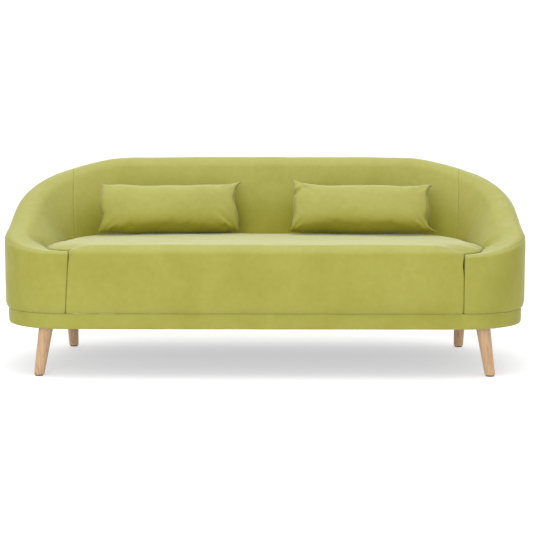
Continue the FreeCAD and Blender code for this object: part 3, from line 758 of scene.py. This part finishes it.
def add_seat():
    """The seat's cover: up the front from the plinth, over the roll and back to the crevice."""
    y, z = seat_profile()
    y = y + LOW.y
    across = graded(2 * SEAM_X)
    u = across / across[-1] * 2 - 1
    contour = seat_contour()
    left = contour[: len(contour) // 2 + 1]
    half = np.interp(y, left[:, 1], -left[:, 0]) - SLIT
    wider = np.maximum(half, SEAM_X + SEAM_SHIFT[1] - SLIT)
    x = u[:, None] * np.where(u[:, None] > 0, wider, half)
    on_front = smooth((LOW.y + FRONT_ROLL - y) / (0.5 * FRONT_ROLL))[None, :]
    arm_top = wall(np.zeros(1))[0][0]
    low = np.clip((arm_top - z) / (arm_top - BASE_TOP), 0, 1)[None, :]
    edge = np.abs(u[:, None]) ** 12
    for side in (-1, 1):
        here = edge * (np.sign(u)[:, None] == side)
        x = x + side * SEAM_LEAN[side] * low * here
    for side, centre, width, opening in SEAM_GAPS:
        here = np.abs(u[:, None]) ** 60 * (np.sign(u)[:, None] == side)
        x = x - side * opening * bell(z, centre, width)[None, :] * here * on_front
    points = np.stack([x, y[None, :] + 0 * x, z[None, :] + 0 * x], axis=-1)
    outward = grid_normals(points)
    to_left, to_right, from_front, to_back = edge_distance(points)
    side_near = np.minimum(to_left, to_right)
    on_top = smooth((z - SEAT_FRONT + FRONT_ROLL) / (0.8 * FRONT_ROLL))[None, :]
    points[..., 2] += SEAT_CROWN * on_top * (1 - u[:, None] ** 4) * smooth(to_back / 0.2)
    # the sides and the back fall to the line where the seat meets the wall
    near, line = seat_edge(points, contour)
    sink = np.clip(points[..., 2] - line, 0, None) * on_top
    points[..., 2] -= sink * (1 - np.clip(near / SEAT_REACH, 0, 1)) ** 2.2
    behind = smooth((y - CREVICE_START) / CREVICE_GROWTH)[None, :]
    points[..., 2] -= CREVICE_DEPTH * np.exp(-near / CREVICE_WIDTH) * on_top * behind
    field = random_field(points, 0.13, 31) + 0.5 * random_field(points, 0.05, 32)
    depth = (0.0010 + 0.0008 * on_top) * smooth(side_near / 0.03)
    points = points + outward * (field * depth)[..., None]
    puff = FRONT_PUFF * (1 - on_top) * smooth(from_front / 0.05) * smooth(side_near / 0.06)
    points = points + outward * puff[..., None]
    piece = finish_panel("seat_velvet", points, outward, (SEAM, SEAM, 0, 0), 33, flip=False)
    dress(piece, "sofa", "velvet", 0.9, "seat_cover", "seat_wadding", "seat_foam")


# ---- The plinth ----
def all_round(step, edge):
    """Places round the whole outline, starting from the middle of the front."""
    half = -SEAM_X + graded(SEAM_X + S_MIDDLE, step, edge)
    return np.concatenate([half, (S_END - half)[::-1][1:-1]])


def add_plinth():
    """Both strips of the band under the body, as one sewn hoop turned under at the bottom."""
    s = all_round(step=0.012, edge=0.004)
    height = BASE_TOP - BASE_BOTTOM
    turn = np.linspace(-math.pi / 2, 0, 8)
    r = PLINTH_TURN
    under = np.stack([r - r * np.cos(turn), BASE_BOTTOM + r + r * np.sin(turn)], axis=1)
    up = np.linspace(0.2, 1, 9)
    face = np.stack([-PLINTH_BULGE * np.sin(math.pi * up), BASE_BOTTOM + r + (height - r) * up], axis=1)
    tuck = np.array([[0.004, BASE_TOP + 0.001], [0.016, BASE_TOP + 0.002]])
    skirt = np.array([[0.030, BASE_BOTTOM + 0.0005]])
    section = np.concatenate([skirt, under, face, tuck])
    n = PLINTH_SETBACK + section[:, 0][None, :] + 0 * s[:, None]
    z = section[:, 1][None, :] + 0 * s[:, None]
    points = at(s[:, None] + 0 * n, n, z)
    rows, columns = points.shape[:2]
    field = random_field(points, 0.09, 41)
    points[..., :2] += (PLINTH_WAVE * field)[..., None]
    faces = grid_faces(rows, columns, flip=True, closed=True)
    piece = add_mesh("plinth_velvet", points.reshape(-1, 3).tolist(), faces, MATERIALS["velvet"])
    dress(piece, "sofa", "velvet", 0.9, "plinth_front_band", "plinth_rear_band")


# ---- The cloth under the base ----
def add_dust_cover():
    """Black cloth stapled to the underside of the base, sagging a little between its edges."""
    inset = PLINTH_SETBACK + DUST_INSET
    x, y, nx, ny = outline(all_round(step=0.03, edge=0.02))
    rim = np.stack([x + nx * inset, y + ny * inset], axis=-1)
    share = np.linspace(0.02, 1, 30)
    plan = rim[:, None, :] * share[None, :, None]
    sag = smooth((1 - share) / 0.12)[None, :] * bell(plan[..., 0], 0, 0.5)
    spots = np.concatenate([plan, 0 * plan[..., :1]], axis=-1)
    sag = sag * (0.5 + 0.5 * random_field(spots, 0.16, 51)) + 0.1
    points = np.concatenate([plan, (BASE_BOTTOM - DUST_SAG * sag)[..., None]], axis=-1)
    rows, columns = points.shape[:2]
    faces = grid_faces(rows, columns, closed=True)
    faces.append([row * columns for row in reversed(range(rows))])
    piece = add_mesh("dust_cloth", points.reshape(-1, 3).tolist(), faces, MATERIALS["dust_cloth"])
    dress(piece, "sofa", "dust_cloth", None, "dust_cover")


# ---- Loose cushions ----
def cushion_case(shape, rng):
    """A closed case with a knife edge: two crowned faces, drawn-in sides and corners of its own."""
    width, thick, height = PILLOW_SIZE
    columns, rows = 76, 32
    vertices, faces, index = [], [], {}
    for side in (1, -1):
        for i in range(columns + 1):
            for j in range(rows + 1):
                rim = i in (0, columns) or j in (0, rows)
                if rim and side < 0:
                    index[side, i, j] = index[1, i, j]
                    continue
                u, v = -math.cos(math.pi * i / columns), -math.cos(math.pi * j / rows)
                crown = ((1 - abs(u) ** 5) * (1 - abs(v) ** 2.6)) ** 0.52
                draw_side = shape["draw_right" if u > 0 else "draw_left"]
                draw_end = shape["draw_top" if v > 0 else "draw_bottom"]
                x = u * width / 2 - u * abs(u) * draw_side * (1 - v**8)
                z = v * height / 2 - v * abs(v) * draw_end * (1 - u**10)
                for (cu, cv), (dx, dz) in shape["ears"].items():
                    pull = (max(0.0, cu * u) ** 5) * (max(0.0, cv * v) ** 3)
                    x, z = x + dx * pull, z + dz * pull
                y = -side * thick / 2 * crown + 0.001 * (rng.random() - 0.5)
                corner = (u * v) ** 8
                x, z = x * (1 - CORNER_ROUND[0] * corner), z * (1 - CORNER_ROUND[1] * corner)
                rim_u, rim_v = abs(u) ** 4, abs(v) ** 4
                bend = noise.noise(Vector((u * 2.4 + shape["seed"], v * 1.3, 0.5)))
                z += math.copysign(0.006, v) * bend * rim_v
                x += math.copysign(0.007, u) * noise.noise(Vector((v * 1.8, shape["seed"], u))) * rim_u
                index[side, i, j] = len(vertices)
                vertices.append((x, y, z))
    for side in (1, -1):
        for i in range(columns):
            for j in range(rows):
                loop = [index[side, i + a, j + b] for a, b in ((0, 0), (1, 0), (1, 1), (0, 1))]
                faces.append(loop if side > 0 else loop[::-1])
    return vertices, faces


def settle(piece, frames, pressure):
    """Blows the case up a little as cloth, so that its cover pulls and creases by itself."""
    cloth = piece.modifiers.new("cloth", "CLOTH")
    settings = cloth.settings
    settings.quality = 6
    settings.mass = 0.25
    settings.tension_stiffness = 15
    settings.compression_stiffness = 15
    settings.shear_stiffness = 5
    settings.bending_stiffness = 0.15
    settings.tension_damping = 15
    settings.compression_damping = 15
    settings.air_damping = 4
    settings.shrink_min = -0.035
    settings.use_pressure = True
    settings.uniform_pressure_force = pressure
    settings.effector_weights.gravity = 0.0
    cloth.collision_settings.use_collision = False
    cloth.point_cache.frame_start = 1
    cloth.point_cache.frame_end = frames
    scene = bpy.context.scene
    for number in range(1, frames + 1):
        scene.frame_set(number)
    graph = bpy.context.evaluated_depsgraph_get()
    shape = piece.evaluated_get(graph).to_mesh()
    moved = np.array([v.co[:] for v in shape.vertices])
    piece.modifiers.clear()
    scene.frame_set(1)
    return moved


def creases(co, folds):
    """Straight folds in the front face: each runs from a corner, fading along and across itself."""
    out = co.copy()
    front = smooth(-co[:, 1] / 0.02)
    for x, z, angle, length, width, depth in folds:
        along = (co[:, 0] - x) * math.cos(angle) + (co[:, 2] - z) * math.sin(angle)
        across = -(co[:, 0] - x) * math.sin(angle) + (co[:, 2] - z) * math.cos(angle)
        share = np.clip(along / length, 0, 1)
        fade = smooth(along / 0.02) * (1 - smooth(share))
        spread = width * (0.6 + 0.8 * share)
        fold = bell(across, 0, spread) - 0.5 * bell(across, 1.7 * spread, spread)
        out[:, 1] += depth * fade * front * fold
    return out


def add_pillow(side):
    x, y, rise, turn, lean = PILLOWS[side]
    shape = PILLOW_SHAPES[side]
    rng = np.random.default_rng(11 if side == "left" else 23)
    vertices, faces = cushion_case(shape, rng)
    piece = add_mesh("pillow_velvet_" + side, vertices, faces, MATERIALS["velvet"])
    co = np.array(vertices)
    moved = settle(piece, CLOTH_FRAMES, CLOTH_PRESSURE)
    step = moved - co
    reach = np.linalg.norm(step, axis=1, keepdims=True)
    co = co + step * np.minimum(1, PILLOW_GIVE / np.maximum(reach, 1e-9))
    co = creases(co, shape["folds"])
    spin = Euler((math.radians(-lean), 0, math.radians(turn)), "XYZ").to_matrix()
    middle = np.array([x, y, seat_top(y) + rise])
    placed = co @ np.array(spin).T + middle
    # the cushion rests on the seat, just clear of its cover
    rest = seat_top(placed[:, 1]) + SEAT_CROWN + 0.0015
    placed[:, 2] = np.maximum(placed[:, 2], rest)
    for vertex, place in zip(piece.data.vertices, placed):
        vertex.co = place
    smoothing = piece.modifiers.new("smooth", "SUBSURF")
    smoothing.levels = smoothing.render_levels = 1
    dress(piece, "pillow_" + side, "velvet", 0.6, "pillow_%s_cover" % side, "pillow_%s_fill" % side)


# ---- Legs ----
def leg_rings(node):
    """Centre and radius of the top and the bottom ring of a leg's CAD node."""
    co = np.array([v.co for v in frame["nodes"][node].data.vertices])
    rings = []
    for z in (co[:, 2].max(), co[:, 2].min()):
        ring = co[np.abs(co[:, 2] - z) < 1e-4]
        low, high = ring.min(axis=0), ring.max(axis=0)
        rings.append(((low + high) / 2, (high[0] - low[0]) / 2))
    return rings


def add_leg(name):
    (top, top_r), (foot, foot_r) = leg_rings(name)
    count = LEG_SIDES
    vertices = []
    for t, scale in LEG_PROFILE:
        centre = foot + (top - foot) * t
        r = (foot_r + (top_r - foot_r) * t) * scale
        for k in range(count):
            a = 2 * math.pi * k / count
            vertices.append((centre[0] + r * math.cos(a), centre[1] + r * math.sin(a), centre[2]))
    faces = []
    for i in range(len(LEG_PROFILE) - 1):
        for k in range(count):
            after = (k + 1) % count
            a, b = i * count, (i + 1) * count
            faces.append((a + k, a + after, b + after, b + k))
    piece = add_mesh(name + "_oak", vertices, faces, MATERIALS["oak"])
    dress(piece, "sofa", "oak", None, name)


# ---- Carried-over CAD nodes ----
def finish_cad_nodes():
    slots = {row["node"]: row["material_slot"] for row in frame["record"]["subparts"]}
    for name, node in frame["nodes"].items():
        node.data.materials.clear()
        node.data.materials.append(MATERIALS[slots[name]])


# ---- Camera, floor and light ----
def add_camera():
    data = bpy.data.cameras.new("camera")
    data.sensor_width = 36.0
    data.lens = CAMERA_LENS
    camera = bpy.data.objects.new("camera", data)
    camera.location = CAMERA_PLACE
    camera.rotation_euler = Euler((CAMERA_TILT, 0, CAMERA_TURN))
    bpy.context.scene.collection.objects.link(camera)
    bpy.context.scene.camera = camera


def add_floor():
    m = Nodes("studio_floor")
    grain = m.noise(120.0)
    colour = m.ramp(grain, [(0.3, (0.60, 0.60, 0.60)), (0.7, (0.62, 0.62, 0.62))])
    m.shader.inputs["Emission Color"].default_value = (1, 1, 1, 1)
    m.shader.inputs["Emission Strength"].default_value = FLOOR_GLOW
    material = m.finish(Base_Color=colour, Roughness=0.9)
    reach = FLOOR_REACH
    corners = [(-reach, -reach, 0), (reach, -reach, 0), (reach, reach, 0), (-reach, reach, 0)]
    floor = add_mesh("floor", corners, [(0, 1, 2, 3)], material)


def add_light(name, place, target, size, power):
    data = bpy.data.lights.new(name, "AREA")
    data.shape = "RECTANGLE"
    data.size, data.size_y = size
    data.energy = power
    light = bpy.data.objects.new(name, data)
    light.location = place
    light.rotation_euler = (Vector(target) - Vector(place)).to_track_quat("-Z", "Y").to_euler()
    bpy.context.scene.collection.objects.link(light)


def add_studio():
    world = bpy.data.worlds.new("studio")
    world.use_nodes = True
    background = world.node_tree.nodes["Background"]
    background.inputs["Color"].default_value = (1, 1, 1, 1)
    background.inputs["Strength"].default_value = WORLD_STRENGTH
    bpy.context.scene.world = world
    bpy.context.scene.view_settings.view_transform = "Standard"
    for name, settings in LIGHTS.items():
        add_light(name, *settings)


add_camera()
add_floor()
add_studio()
finish_cad_nodes()
add_wall_covers()
add_seat()
add_plinth()
add_dust_cover()
for pillow_side in PILLOWS:
    add_pillow(pillow_side)
for leg_name in ("leg_front_left", "leg_front_right", "leg_rear_left", "leg_rear_right"):
    add_leg(leg_name)

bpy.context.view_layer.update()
